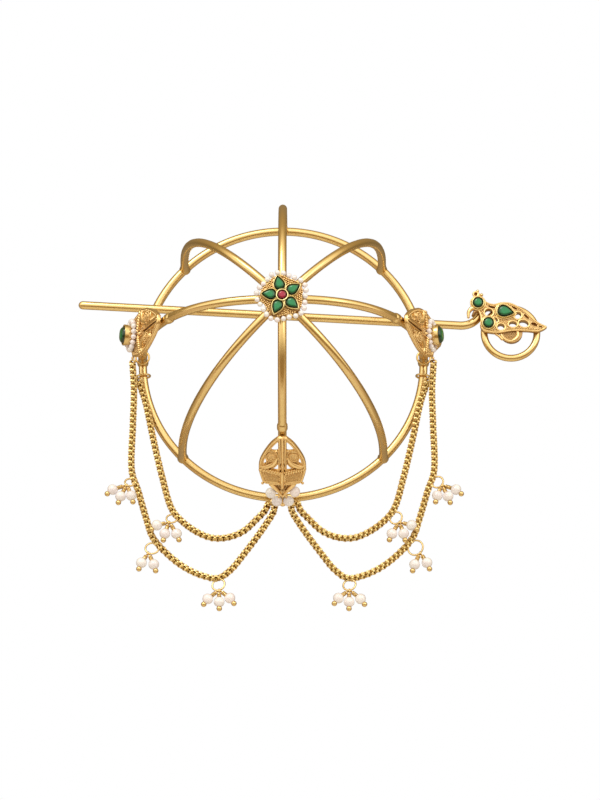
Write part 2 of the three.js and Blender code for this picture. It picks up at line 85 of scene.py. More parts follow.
def node(tree, kind, inputs=None, **settings):
    """Adds a node with its settings; inputs maps a socket to a value or to another node's socket."""
    made = tree.nodes.new(kind)
    for name, value in settings.items():
        setattr(made, name, value)
    for socket, value in (inputs or {}).items():
        if isinstance(value, bpy.types.NodeSocket):
            tree.links.new(value, made.inputs[socket])
        else:
            made.inputs[socket].default_value = value
    return made


def softbox(name, spot, power, width, height):
    """A rectangular studio light that faces the middle of the dome."""
    data = bpy.data.lights.new(name, "AREA")
    data.shape = "RECTANGLE"
    data.energy = power
    data.size = width * MM
    data.size_y = height * MM
    aim = np.array(DOME_MIDDLE) - np.array(spot)
    aim = aim / np.linalg.norm(aim)
    side = np.cross(aim, [0, 0, 1])
    side /= np.linalg.norm(side)
    placed(name, data, np.column_stack([side, np.cross(side, aim), -aim]), spot)


softbox("key_softbox", (-350, -750, 800), 3.6, 600, 400)
softbox("fill_softbox", (700, -850, 350), 1.2, 300, 800)

studio = bpy.data.worlds.new("studio")
studio.use_nodes = True
sky = studio.node_tree
sky.nodes.clear()


def dot(tree, first, second):
    """The share of one direction that runs along another."""
    made = node(tree, "ShaderNodeVectorMath", {0: first, 1: tuple(second)}, operation="DOT_PRODUCT")
    return made.outputs["Value"]


def math_node(tree, operation, first, second):
    """The result of an operation on two numbers."""
    return node(tree, "ShaderNodeMath", {0: first, 1: second}, operation=operation).outputs[0]


def ranged(tree, value, low, high, out_low=0.0, out_high=1.0):
    """A value stretched from one range to another, and held at its ends."""
    limits = {"From Min": low, "From Max": high, "To Min": out_low, "To Max": out_high}
    return node(tree, "ShaderNodeMapRange", {"Value": value, **limits}).outputs[0]


# The surroundings by elevation: 0 degrees is the way to the camera, 90 is up, 180 is behind. The
# bright part draws the light band along each wire, and the brown part the dark band below it.
direction = node(sky, "ShaderNodeTexCoord").outputs["Generated"]
elevation = math_node(sky, "ARCTAN2", dot(sky, direction, view_up), dot(sky, direction, -view_line))
turned_share = ranged(sky, elevation, -math.pi, math.pi)
sweep_tone = node(sky, "ShaderNodeValToRGB", {"Fac": turned_share})
sweep_stops = [
    (-180, "6E6048"),
    (-110, "A8967C"),
    (-50, "CDBBAC"),
    (-30, "8E744A"),
    (-8, "765C36"),
    (14, "E8DFC8"),
    (35, "FFFFFA"),
    (80, "F4EAD2"),
    (110, "A08C66"),
    (180, "6E6048"),
]
ramp = sweep_tone.color_ramp
for _ in sweep_stops[2:]:
    ramp.elements.new(0.5)
for stop, (degrees, tone) in zip(ramp.elements, sweep_stops):
    stop.position = (degrees + 180) / 360
    stop.color = colour(tone)
around = node(sky, "ShaderNodeBackground", {"Color": sweep_tone.outputs[0], "Strength": 1.5})
behind = node(sky, "ShaderNodeBackground", {"Color": colour("FFFFFF"), "Strength": 1.0})
seen = node(sky, "ShaderNodeLightPath").outputs["Is Camera Ray"]
backdrop = node(sky, "ShaderNodeMixShader", {0: seen, 1: around.outputs[0], 2: behind.outputs[0]})
node(sky, "ShaderNodeOutputWorld", {"Surface": backdrop.outputs[0]})
bpy.context.scene.world = studio


# Studio floor: a board rolled with pale matt paint. It lies well under the cage, which hangs
# clear of it.
FLOOR_DEPTH = -335
FLOOR_REACH = 260


def new_finish(name, settings):
    """A material with constant settings on its shader, with its node tree and that shader."""
    made = bpy.data.materials.new(name)
    made.use_nodes = True
    shader = made.node_tree.nodes["Principled BSDF"]
    for socket, value in settings.items():
        shader.inputs[socket].default_value = value
    return made, made.node_tree, shader


def mix(tree, share, first, second):
    """Two colours blended by a share."""
    return node(tree, "ShaderNodeMix", {0: share, 6: first, 7: second}, data_type="RGBA").outputs[2]


# Chalky, so that the board shows no lamp and only gives the gold something pale to reflect.
paint, paint_tree, paint_shader = new_finish("Matt white board", {"Roughness": 0.8})
roller_marks = node(paint_tree, "ShaderNodeTexNoise", {"Scale": 40.0, "Detail": 3.0}).outputs[0]
paint_tone = mix(paint_tree, roller_marks, colour("F4F3F1"), colour("FAFAF9"))
paint_tree.links.new(paint_tone, paint_shader.inputs["Base Color"])
board = bpy.data.meshes.new("studio_floor")
reach = FLOOR_REACH * MM
corners = [(-reach, -reach), (reach, -reach), (reach, reach), (-reach, reach)]
board.from_pydata([(x, y, FLOOR_DEPTH * MM) for x, y in corners], [], [(0, 1, 2, 3)])
board.materials.append(paint)
floor = placed("studio_floor", board)


# Cage frame: gold wire of one gauge, bent into the ring and four hoops that cross over the
# apex, hard-soldered at every meeting, with short collars where the crests' tips are fixed.
RING_RADIUS = 40
WIRE_RADIUS = 1.2
DOME_HEIGHT = 55
DOME_POWER = 2.35
HOOP_COUNT = 4
HUB_RADIUS = 3.6
COLLAR_RADIUS = 1.48
COLLAR_MIDDLE = 39
COLLAR_HALF = 1.1
FOOT_SOLDER = 0.45
FOOT_HEIGHT = 4
RIGHT = 0
LEFT = math.pi
BOTTOM = 1.5 * math.pi


def laid(form, seat):
    """A form carried from its own frame into the one that the seat maps to."""
    return seat(form[0]), form[1]


class Work:
    """One joined mesh as it grows, in millimetres, from forms in the seat's frame. Each point's mark is for
    its finish: how much painted shade darkens the gold, how near a stone's rim (shaded by paint), or which
    tone of pearl."""

    def __init__(self, seat=None):
        self.seat = seat
        self.spots = []
        self.marks = []
        self.faces = []
        self.count = 0

    def add(self, form, mark=0.0):
        spots, faces = laid(form, self.seat) if self.seat else form
        self.spots.append(spots)
        self.marks.append(np.broadcast_to(mark, (len(spots),)))
        self.faces += [[corner + self.count for corner in face] for face in faces]
        self.count += len(spots)
        return self


def forge(name, work, finish, replaces=(), body="cage", crease=50):
    """Turns a work into a piece that rides on a body and stands for the CAD nodes named."""
    mesh = bpy.data.meshes.new(name)
    mesh.from_pydata((np.vstack(work.spots) * MM).tolist(), [], work.faces)
    mesh.shade_smooth()
    mesh.set_sharp_from_angle(angle=math.radians(crease))
    mark = mesh.attributes.new("mark", "FLOAT", "POINT")
    mark.data.foreach_set("value", np.concatenate(work.marks).astype(np.float32))
    mesh.materials.append(finish)
    piece = placed(name, mesh)
    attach(piece, body)
    if replaces:
        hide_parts(*replaces)
    return piece


def grid_faces(rows, sides, closed):
    """Faces over rows of points that each go round. Closed rows meet end to end, and open ones
    get a face at each end."""
    low, side = np.meshgrid(np.arange(rows if closed else rows - 1), np.arange(sides), indexing="ij")
    high = (low + 1) % rows
    following = (side + 1) % sides
    corners = [(low, side), (low, following), (high, following), (high, side)]
    faces = np.stack([row * sides + column for row, column in corners], axis=-1).reshape(-1, 4).tolist()
    last = (rows - 1) * sides
    return faces if closed else [*faces, list(range(sides))[::-1], list(range(last, last + sides))]


def full_turn(steps):
    """Even angles once round a circle."""
    return np.linspace(0, 2 * np.pi, steps, endpoint=False)


def tube(path, radius, sides=14, closed=False, round_ends=True):
    """A wire along a path. Its open ends are half balls that reach one radius further."""
    path = np.asarray(path, float)
    radius = np.broadcast_to(radius, (len(path),)).astype(float)
    if closed:
        ahead = np.roll(path, -1, axis=0) - np.roll(path, 1, axis=0)
    else:
        ahead = np.gradient(path, axis=0)
    ahead /= np.linalg.norm(ahead, axis=1, keepdims=True)
    first = np.cross(ahead[0], np.eye(3)[np.argmin(np.abs(ahead[0]))])
    sideways = [first / np.linalg.norm(first)]
    for line in ahead[1:]:
        carried = sideways[-1] - line * np.dot(sideways[-1], line)
        sideways.append(carried / np.linalg.norm(carried))
    sideways = np.array(sideways)
    upwards = np.cross(ahead, sideways)
    if not closed and round_ends:
        bends = np.radians([85, 60, 30])
        start = [path[0] - ahead[0] * radius[0] * math.sin(b) for b in bends]
        end = [path[-1] + ahead[-1] * radius[-1] * math.sin(b) for b in bends[::-1]]
        path = np.vstack([start, path, end])
        shrink = np.cos(bends)
        radius = np.concatenate([radius[0] * shrink, radius, radius[-1] * shrink[::-1]])
        sideways = np.vstack([[sideways[0]] * 3, sideways, [sideways[-1]] * 3])
        upwards = np.vstack([[upwards[0]] * 3, upwards, [upwards[-1]] * 3])
    turn = full_turn(sides)
    rim = np.cos(turn)[:, None] * sideways[:, None] + np.sin(turn)[:, None] * upwards[:, None]
    spots = (path[:, None, :] + radius[:, None, None] * rim).reshape(-1, 3)
    return spots, grid_faces(len(path), sides, closed)


def dome_point(radius, angle, height):
    """A point by its distance from the dome's axis, its angle round it and its height."""
    return np.array([radius * math.cos(angle), -height, radius * math.sin(angle)])


def rib_radius(height):
    """How far a rib's centreline stands from the dome's axis at a height."""
    share = (height / DOME_HEIGHT) ** DOME_POWER
    return RING_RADIUS * (1 - share) ** (1 / DOME_POWER)


def hoop_path(angle, steps=140):
    """One hoop's centreline: a superellipse, steep at the ring and flat over the apex."""
    turns = np.linspace(0, np.pi, steps)
    side = np.cos(turns)
    radius = RING_RADIUS * np.sign(side) * np.abs(side) ** (2 / DOME_POWER)
    height = DOME_HEIGHT * np.sin(turns) ** (2 / DOME_POWER)
    return np.column_stack([radius * math.cos(angle), -height, radius * math.sin(angle)])


def arc(centre, radius, angles):
    """Points round a centre at a radius, which may change from angle to angle."""
    return np.column_stack([centre[0] + radius * np.cos(angles), centre[1] + radius * np.sin(angles)])


def on_plane(outline, height):
    """An outline as points in space at one height."""
    return np.column_stack([outline, np.full(len(outline), float(height))])


def lathe(profile, sides=32):
    """A form turned round the local Z axis from a profile of (radius, height) points."""
    rows = [on_plane(arc((0, 0), radius, full_turn(sides)), height) for radius, height in profile]
    return np.vstack(rows), grid_faces(len(profile), sides, False)


def seated(origin, along, outward):
    """A map from a local frame, with Y along and Z outward, to the object's own frame."""
    along = np.asarray(along, float)
    outward = np.asarray(outward, float)
    axes = np.array([np.cross(along, outward), along, outward])
    return lambda spots: np.asarray(origin) + np.asarray(spots, float) @ axes


def noise(tree, size, detail):
    """Soft clouds of a size in millimetres, fixed to the object."""
    place = node(tree, "ShaderNodeTexCoord").outputs["Object"]
    clouds = {"Vector": place, "Scale": 1 / (size * MM), "Detail": detail}
    return node(tree, "ShaderNodeTexNoise", clouds).outputs[0]


def point_mark(tree):
    """The mark that a work leaves on each point."""
    return node(tree, "ShaderNodeAttribute", attribute_name="mark").outputs["Fac"]


def gold_finish(name, tones, roughness, grain_size, grain_depth, patina):
    """Gold that drifts between two tones and two roughnesses, with painted shade: it turns towards
    a darker tone in the hollows that the AO node finds and on points whose mark asks for shade."""
    made, tree, shader = new_finish(name, {"Metallic": 1.0})
    cloud = noise(tree, 5, 3.0)
    grain = noise(tree, grain_size, 2.0)
    body = mix(tree, cloud, colour(tones[0]), colour(tones[1]))
    # Painted shade: the AO node and each point's mark pull the gold towards the darker shade tone.
    hollow = node(tree, "ShaderNodeAmbientOcclusion", {"Distance": 0.5 * MM}, samples=8)
    open_share = ranged(tree, hollow.outputs["AO"], 0.15, 0.67)
    clean = math_node(tree, "SUBTRACT", 1.0, point_mark(tree))
    shown = math_node(tree, "MULTIPLY", open_share, clean)
    tree.links.new(mix(tree, shown, colour(patina), body), shader.inputs["Base Color"])
    tree.links.new(ranged(tree, cloud, 0.3, 0.7, *roughness), shader.inputs["Roughness"])
    bump = {"Strength": 0.5, "Distance": grain_depth * MM, "Height": grain}
    tree.links.new(node(tree, "ShaderNodeBump", bump).outputs[0], shader.inputs["Normal"])
    return made


# Drawn 22-carat wire, burnished by hand: long soft streaks of light, and browner painted shade in its
# hollows.
drawn_gold = gold_finish("Burnished gold wire", ("ECCF94", "E2C282"), (0.2, 0.28), 3, 0.004, "A87430")
# Cast and granulated work, pickled: each grain is bright, and the ground between carries painted shade.
grained_gold = gold_finish("Granulated gold", ("FEE0A4", "F0C888"), (0.24, 0.34), 0.6, 0.008, "743E16")

wires = Work()
ring_path = np.array([dome_point(RING_RADIUS, a, 0) for a in full_turn(180)])
wires.add(tube(ring_path, WIRE_RADIUS, closed=True))
for i in range(HOOP_COUNT):
    hoop = hoop_path(math.pi * i / HOOP_COUNT)
    gauge = np.full(len(hoop), float(WIRE_RADIUS))
    # Solder draws up round each foot and leaves it a little thicker.
    from_foot = np.minimum(-hoop[:, 1], FOOT_HEIGHT) / FOOT_HEIGHT
    gauge += FOOT_SOLDER * (1 - from_foot) ** 2
    wires.add(tube(hoop, gauge, round_ends=False))
hub_seat = seated(dome_point(0, 0, DOME_HEIGHT), (0, 0, 1), (0, -1, 0))
hub_profile = [(0.02, -0.4), (HUB_RADIUS - 0.3, -0.4), (HUB_RADIUS, -0.1), (HUB_RADIUS, 1.1)]
wires.add(laid(lathe([*hub_profile, (HUB_RADIUS - 0.3, 1.4), (0.02, 1.4)]), hub_seat))
for angle in (RIGHT, LEFT, BOTTOM):
    heights = np.linspace(COLLAR_MIDDLE - COLLAR_HALF, COLLAR_MIDDLE + COLLAR_HALF, 13)
    collar_line = np.array([dome_point(rib_radius(h), angle, h) for h in heights])
    swell = COLLAR_RADIUS - 0.35 * np.abs(np.linspace(-1, 1, 13)) ** 3
    wires.add(tube(collar_line, swell, sides=18, round_ends=False))
forge("frame_wires", wires, drawn_gold, ["cage_frame"])


# Hub flower: five drop-cut emeralds and a ruby in thin closed settings on a lobed plate of
# granulated gold, with a string of seed pearls sewn round its edge.
FLOWER_TURN = math.radians(31.5)
PETAL_COUNT = 5
PETAL_LENGTH = 3.8
PETAL_WIDTH = 2.7
PETAL_CENTRE = 3.6
RUBY_RADIUS = 1.25
BEZEL_WALL = 0.3
FLOWER_RADIUS = 5.65
FLOWER_LOBE = 0.4
SEED_PEARL_RADIUS = 0.76
SEED_PEARL_COUNT = 25
PLATE_BASE = 1.7
PLATE_TOP = 2.4
STONE_BASE = 2.55
GRAIN_RADIUS = 0.27
GRAIN_ROW = 0.56
GRAIN_STEP = 0.58
FIRST_GRAIN_ROW = 2.2
draw = random.Random(7)


def moved(form, offset, stretch=1):
    """A form stretched and then shifted."""
    return form[0] * stretch + offset, form[1]


def lobed(radius, angle):
    """The flower's outline: a circle that swells behind each petal."""
    return radius + FLOWER_LOBE * math.cos(PETAL_COUNT * (angle - FLOWER_TURN))


def drop_outline(length, width, sides=48):
    """A drop pointed at +X and centred on its length."""
    widest = 0.77
    turn = full_turn(sides)
    across = width / 2 * np.sin(turn) * np.sin(turn / 2) / widest
    return np.column_stack([length / 2 * np.cos(turn), across])


def disc_outline(radius, sides=48):
    """A circle as an outline."""
    return arc((0, 0), radius, full_turn(sides))


def turned(spots, angle):
    """Outline points turned round the origin."""
    x, y = np.asarray(spots, float).T
    cosine, sine = math.cos(angle), math.sin(angle)
    return np.column_stack([cosine * x - sine * y, sine * x + cosine * y])


def layered(outline, layers):
    """Stacked copies of an outline, each scaled by a share at a height, and closed at both ends."""
    spots = np.vstack([on_plane(outline * share, height) for share, height in layers])
    return spots, grid_faces(len(layers), len(outline), False)


def stone(outline, height, base):
    """A low-domed cut stone and how near each of its points is to the rim, which the gem finish turns into
    painted shade.
    """
    layers = [(0.7, 0), (1, 0.3), (1, 0.5), (0.9, 0.72)]
    layers += [(0.78, 0.88), (0.66, 0.96), (0.4, 1), (0.02, 1.02)]
    form = layered(outline, [(share, base + height * rise) for share, rise in layers])
    rims = np.repeat([share for share, _ in layers], len(outline))
    return form, rims


def inset_line(outline, distance):
    """An outline moved inwards by a distance, for the wire that runs along an edge."""
    outline = np.asarray(outline, float)
    ahead = np.roll(outline, -1, axis=0) - np.roll(outline, 1, axis=0)
    inwards = np.column_stack([-ahead[:, 1], ahead[:, 0]])
    inwards /= np.linalg.norm(inwards, axis=1, keepdims=True)
    x, y = outline.T
    area = np.sum(x * np.roll(y, -1) - np.roll(x, -1) * y)
    return outline + inwards * distance * math.copysign(1, area)


def bezel(outline, wall, low, high):
    """A thin wall round a stone, with its top edge pressed over in a soft roll."""
    section = [(wall, low), (wall, high - 0.2), (0.75 * wall, high - 0.04), (0.35 * wall, high)]
    section += [(0, high - 0.08), (0, low)]
    rows = [on_plane(inset_line(outline, -offset), level) for offset, level in section]
    return np.vstack(rows), grid_faces(len(section), len(outline), True)


# One grain of gold, as a ball of radius 1.
pattern = bmesh.new()
bmesh.ops.create_icosphere(pattern, subdivisions=2, radius=1)
GRAIN_SPOTS = np.array([vert.co[:] for vert in pattern.verts])
GRAIN_FACES = [[vert.index for vert in face.verts] for face in pattern.faces]
pattern.free()


def grains(places, radius=GRAIN_RADIUS):
    """Small gold balls at the places given, all as one form."""
    spots = [GRAIN_SPOTS * radius + np.asarray(place) for place in places]
    step = len(GRAIN_SPOTS)
    shifts = range(0, step * len(spots), step)
    faces = [[corner + shift for corner in face] for shift in shifts for face in GRAIN_FACES]
    return np.vstack(spots), faces


def pearl_form(radius, sides=20, rows=14):
    """A pearl with its drilled ends flattened a little."""
    bends = np.linspace(-math.pi / 2, math.pi / 2, rows)
    profile = [(max(0.12 * radius, radius * math.cos(b)), 0.96 * radius * math.sin(b)) for b in bends]
    return lathe(profile, sides)


def pearl_string(work, count, reach_at, height, slack, sizes):
    """Threads seed pearls on a closed string, each with its own slack, size and tone."""
    for k in range(count):
        angle = 2 * math.pi * (k + draw.uniform(-slack, slack)) / count
        outward = np.array([math.cos(angle), math.sin(angle), 0])
        hole = (-outward[1], outward[0], 0)
        lie = seated(outward * reach_at(angle) + [0, 0, height], (0, 0, 1), hole)
        pearl = pearl_form(SEED_PEARL_RADIUS * draw.uniform(*sizes))
        work.add(laid(pearl, lie), draw.random())
    return work


def pearl_finish(name, tones):
    """Nacre: a soft body colour that varies from pearl to pearl, under a clear glossy skin. A weak glow in
    the body colour is painted light: it lifts the shaded side, in place of light scattered inside."""
    coat = {"Coat Weight": 1.0, "Coat Roughness": 0.06, "Coat IOR": 1.6}
    settings = {"Roughness": 0.35, "IOR": 1.5, **coat, "Emission Strength": 0.18}
    made, tree, shader = new_finish(name, settings)
    cloud = noise(tree, 2.5, 0.0)
    own = mix(tree, point_mark(tree), colour(tones[0]), colour(tones[1]))
    body = mix(tree, ranged(tree, cloud, 0.35, 0.75, 0, 0.5), own, colour(tones[2]))
    tree.links.new(body, shader.inputs["Base Color"])
    tree.links.new(body, shader.inputs["Emission Color"])
    return made


def gem_finish(name, centre, rim):
    """Foil-backed stone with painted light and shade: paler at the table for light back through the foil,
    dark towards the rim.
    """
    settings = {"Roughness": 0.16, "IOR": 1.5, "Coat Weight": 0.25, "Coat Roughness": 0.05}
    made, tree, shader = new_finish(name, settings)
    garden = ranged(tree, noise(tree, 1.5, 3.0), 0.3, 0.8, 0, 0.45)
    # Painted shade towards the rim and painted light at the table, with clouds of inclusions over both.
    depth = math_node(tree, "MAXIMUM", ranged(tree, point_mark(tree), 0.35, 0.9), garden)
    body = mix(tree, depth, colour(centre), colour(rim))
    tree.links.new(body, shader.inputs["Base Color"])
    return made


# The emeralds read as clouded green with painted shade that makes them nearly black at the rim, the
# ruby as wine red with the same, and the pearls as pale, faintly pink balls with a small clear light on each.
emerald = gem_finish("Polished emerald", "109050", "022C16")
ruby = gem_finish("Polished ruby", "B81A42", "5A0818")
nacre = pearl_finish("Freshwater pearl", ("E8DEDE", "E4E2E0", "D2C6CC"))
# Bezels are of purer, softer gold pressed over the stones. They and the chain's grains take a paler copy of
# the gold, a painted highlight.
bezel_gold = gold_finish("Pale gold with painted highlight", ("F4E6AE", "EEDC98"), (0.16, 0.24), 2, 0.004, "B08A48")

rim_turns = full_turn(120)
rim_line = arc((0, 0), np.array([lobed(FLOWER_RADIUS, a) for a in rim_turns]), rim_turns)
inset = (FLOWER_RADIUS - 0.2) / FLOWER_RADIUS
plate_layers = [(inset, PLATE_BASE), (1, PLATE_BASE + 0.15), (1, PLATE_TOP - 0.15)]
plate_layers += [(inset, PLATE_TOP), (0.02, PLATE_TOP)]
# The plate under the stones and grains carries heavy painted shade through its mark.
setting = Work(hub_seat).add(layered(rim_line, plate_layers), 0.7)
ruby_outline = disc_outline(RUBY_RADIUS + 0.15)
walls = Work(hub_seat).add(bezel(ruby_outline, BEZEL_WALL + 0.05, PLATE_TOP - 0.1, 3.75))
petal_turns = [FLOWER_TURN + 2 * math.pi * i / PETAL_COUNT for i in range(PETAL_COUNT)]
for turn in petal_turns:
    petal = drop_outline(PETAL_LENGTH + 0.3, PETAL_WIDTH + 0.3) + [PETAL_CENTRE, 0]
    walls.add(bezel(turned(petal, turn), BEZEL_WALL, PLATE_TOP - 0.1, 3.5))
grain_places = []
for row, row_radius in enumerate(np.arange(FIRST_GRAIN_ROW, FLOWER_RADIUS, GRAIN_ROW)):
    count = int(2 * math.pi * row_radius / GRAIN_STEP)
    for k in range(count):
        angle = 2 * math.pi * (k + 0.5 * (row % 2)) / count
        reach = row_radius + lobed(0, angle) * row_radius / FLOWER_RADIUS
        beside = math.remainder(angle - FLOWER_TURN, 2 * math.pi / PETAL_COUNT)
        along = (reach * math.cos(beside) - PETAL_CENTRE) / (PETAL_LENGTH / 2 + 0.55)
        across = reach * math.sin(beside) / (PETAL_WIDTH / 2 + 0.5)
        if along**2 + across**2 < 1:
            continue
        jitter = [draw.uniform(-0.05, 0.05) for _ in range(2)]
        spot = (reach * math.cos(angle) + jitter[0], reach * math.sin(angle) + jitter[1])
        grain_places.append((*spot, PLATE_TOP + 0.08))
setting.add(grains(grain_places))
forge("flower_mount", setting, grained_gold, ["flower_setting"])
forge("flower_bezels", walls, bezel_gold, ["flower_setting"])

for number, turn in enumerate(petal_turns, 1):
    form, rims = stone(turned(drop_outline(PETAL_LENGTH, PETAL_WIDTH), turn), 1.2, STONE_BASE)
    shift = PETAL_CENTRE * np.array([math.cos(turn), math.sin(turn), 0])
    petal = Work(hub_seat).add(moved(form, shift), rims)
    forge(f"petal_emerald_{number}", petal, emerald, [f"petal_stone_{number}"], crease=60)
ruby_work = Work(hub_seat).add(*stone(disc_outline(RUBY_RADIUS), 1.5, STONE_BASE))
forge("flower_ruby_stone", ruby_work, ruby, ["flower_ruby"], crease=60)


def string_reach(angle):
    """How far out the flower's pearls lie, against the edge of the plate."""
    return lobed(FLOWER_RADIUS + 0.15 + SEED_PEARL_RADIUS, angle)


pearl_ring = pearl_string(Work(hub_seat), SEED_PEARL_COUNT, string_reach, 2.1, 0.08, (0.93, 1.03))
forge("flower_seed_pearls", pearl_ring, nacre, ["flower_pearl_string"])


# Crests: a pierced leaf of gold sheet on the shoulder of a rib, edged with wire, with a raised
# bar, two domed rosettes, a rope of twisted wire and a cup of small scales at its foot.
CREST_FOOT = (41.3, 20.5)
CREST_TIP = (33.3, 38.4)
CREST_THICKNESS = 0.8
CREST_EDGE = [(2.9, 0.1), (5.1, 0.7), (6, 3.4), (6.5, 6.8), (6.1, 10.4), (4.8, 13.9), (3, 17.3)]
CREST_EDGE += [(1.15, 19.5)]
LANCET = [(1.3, 13.9), (3.3, 14.3), (2.5, 16), (1.3, 17.6)]
OUTER_GAP = [(4.5, 8.7), (5.5, 8.3), (5.4, 9.6), (4.8, 10.9)]
INNER_GAP = [(1.15, 5.7), (2.9, 6.3), (2.0, 7.2), (1.2, 8.3)]
ROSETTE = (3, 11.9)
ROSETTE_RADIUS = 1.5
ROSETTE_STRETCH = np.array([1, 1.35, 1])
CREST_WIRE = 0.32
LEAF_LINE = [(5.9, 7.9), (4.9, 7.6), (3.6, 8.1), (2.3, 9.2), (1.5, 11.2)]
ROPE_FOOT = 4.9
ROPE_RISE = 0.38
PEARL_RADIUS = 1.5
SIDES = (("left", LEFT, -1), ("right", RIGHT, 1))


def smooth_line(points, per_span=10, closed=False):
    """A centripetal curve through the points given, in two or three dimensions."""
    points = np.asarray(points, float)
    if closed:
        points = np.vstack([points[-1], points, points[0], points[1]])
    else:
        points = np.vstack([2 * points[0] - points[1], points, 2 * points[-1] - points[-2]])
    line = []
    for p0, p1, p2, p3 in zip(points, points[1:], points[2:], points[3:]):
        spans = [max(np.linalg.norm(b - a), 1e-6) ** 0.5 for a, b in ((p0, p1), (p1, p2), (p2, p3))]
        start = (p1 - p0) / spans[0] - (p2 - p0) / (spans[0] + spans[1]) + (p2 - p1) / spans[1]
        end = (p2 - p1) / spans[1] - (p3 - p1) / (spans[1] + spans[2]) + (p3 - p2) / spans[2]
        start *= spans[1]
        end *= spans[1]
        for share in np.arange(per_span) / per_span:
            square, cube = share**2, share**3
            line.append(
                (2 * cube - 3 * square + 1) * p1
                + (cube - 2 * square + share) * start
                + (3 * square - 2 * cube) * p2
                + (cube - square) * end
            )
    if not closed:
        line.append(points[-2])
    return np.array(line)


def mirrored(points):
    """The same outline on the other side of the middle line, still running the same way round."""
    return [(-x, y) for x, y in reversed(points)]


def pierced(outline, gaps, thickness, edge=0.14):
    """Sheet sawn to an outline, with gaps sawn through it and every edge rounded off."""
    curve = bpy.data.curves.new("sawn_sheet", "CURVE")
    curve.dimensions = "2D"
    curve.fill_mode = "BOTH"
    curve.extrude = thickness / 2 - edge
    curve.bevel_depth = edge
    curve.bevel_resolution = 2
    curve.offset = -edge
    for loop in [outline, *gaps]:
        spline = curve.splines.new("POLY")
        spline.points.add(len(loop) - 1)
        for point, (x, y) in zip(spline.points, loop):
            point.co = (x, y, 0, 1)
        spline.use_cyclic_u = True
    holder = placed("sawn_sheet", curve)
    sheet = bpy.data.meshes.new_from_object(holder)
    spots = np.array([vert.co[:] for vert in sheet.vertices]) + [0, 0, thickness / 2]
    faces = [list(face.vertices) for face in sheet.polygons]
    bpy.data.objects.remove(holder)
    bpy.data.meshes.remove(sheet)
    bpy.data.curves.remove(curve)
    return spots, faces


def depth_within(spots, outline):
    """How far inside an outline each point is, and below zero how far outside."""
    outline = np.asarray(outline, float)
    nearest = np.full(len(spots), 1e9)
    within = np.zeros(len(spots), bool)
    for a, b in zip(outline, np.roll(outline, -1, axis=0)):
        span = b - a
        share = np.clip((spots - a) @ span / max(span @ span, 1e-12), 0, 1)
        nearest = np.minimum(nearest, np.linalg.norm(spots - a - share[:, None] * span, axis=1))
        crosses = (a[1] > spots[:, 1]) != (b[1] > spots[:, 1])
        edge_x = a[0] + (spots[:, 1] - a[1]) * span[0] / (span[1] or 1e-9)
        within ^= crosses & (spots[:, 0] < edge_x)
    return np.where(within, nearest, -nearest)


def rope(start, end, strand=0.24, lay=1.5):
    """Two strands of wire twisted into a rope between two points."""
    start, end = np.asarray(start, float), np.asarray(end, float)
    length = np.linalg.norm(end - start)
    steps = max(8, int(length / 0.16))
    share = np.linspace(0, 1, steps)
    ahead = (end - start) / length
    side = np.cross(ahead, [0, 0, 1])
    strands = []
    for phase in (0, math.pi):
        turn = 2 * math.pi * share * length / lay + phase
        around_it = np.cos(turn)[:, None] * side + np.sin(turn)[:, None] * np.array([0, 0, 1])
        path = start + share[:, None] * (end - start) + strand * around_it
        strands.append(tube(path, strand, sides=8))
    return strands


def domed(radius, rise, sides=28, rows=8):
    """A low dome of sheet, punched from behind."""
    bends = np.linspace(0, math.pi / 2, rows)
    profile = [(radius, -0.3), *[(radius * math.cos(b) + 0.01, rise * math.sin(b)) for b in bends]]
    return lathe(profile, sides)


def crest_seat(angle):
    """The crest's own frame: X across, Y up the rib and Z away from the dome's middle."""
    run = np.subtract(CREST_TIP, CREST_FOOT)
    inward, rise = run / np.linalg.norm(run)
    along = dome_point(inward, angle, rise)
    outward = dome_point(rise, angle, -inward)
    return seated(dome_point(CREST_FOOT[0], angle, CREST_FOOT[1]), along, outward)


def edge_wire(outline, inset, height, radius, sides=8):
    """A wire soldered along an outline, moved in by an inset."""
    return tube(on_plane(inset_line(outline, inset), height), radius, sides, closed=True)


def staggered(rows, columns, stagger):
    """A field of places for grains, in rows that are staggered like bricks."""
    return np.array([(x + stagger * (i % 2), y) for i, y in enumerate(rows) for x in columns])


def points_along(line, choose):
    """Points of a line at the distances that choose picks for its whole length."""
    steps = np.linalg.norm(np.diff(line, axis=0), axis=1)
    travelled = np.concatenate([[0], np.cumsum(steps)])
    marks = choose(travelled[-1])
    return np.column_stack([np.interp(marks, travelled, column) for column in line.T])


def edge_grains(outline, inset, spacing, height, radius):
    """Grains soldered at even steps along an outline, moved in by an inset."""
    line = inset_line(outline, inset)
    places = points_along(np.vstack([line, line[:1]]), lambda length: np.arange(0, length, spacing))
    return grains(on_plane(places, height), radius)


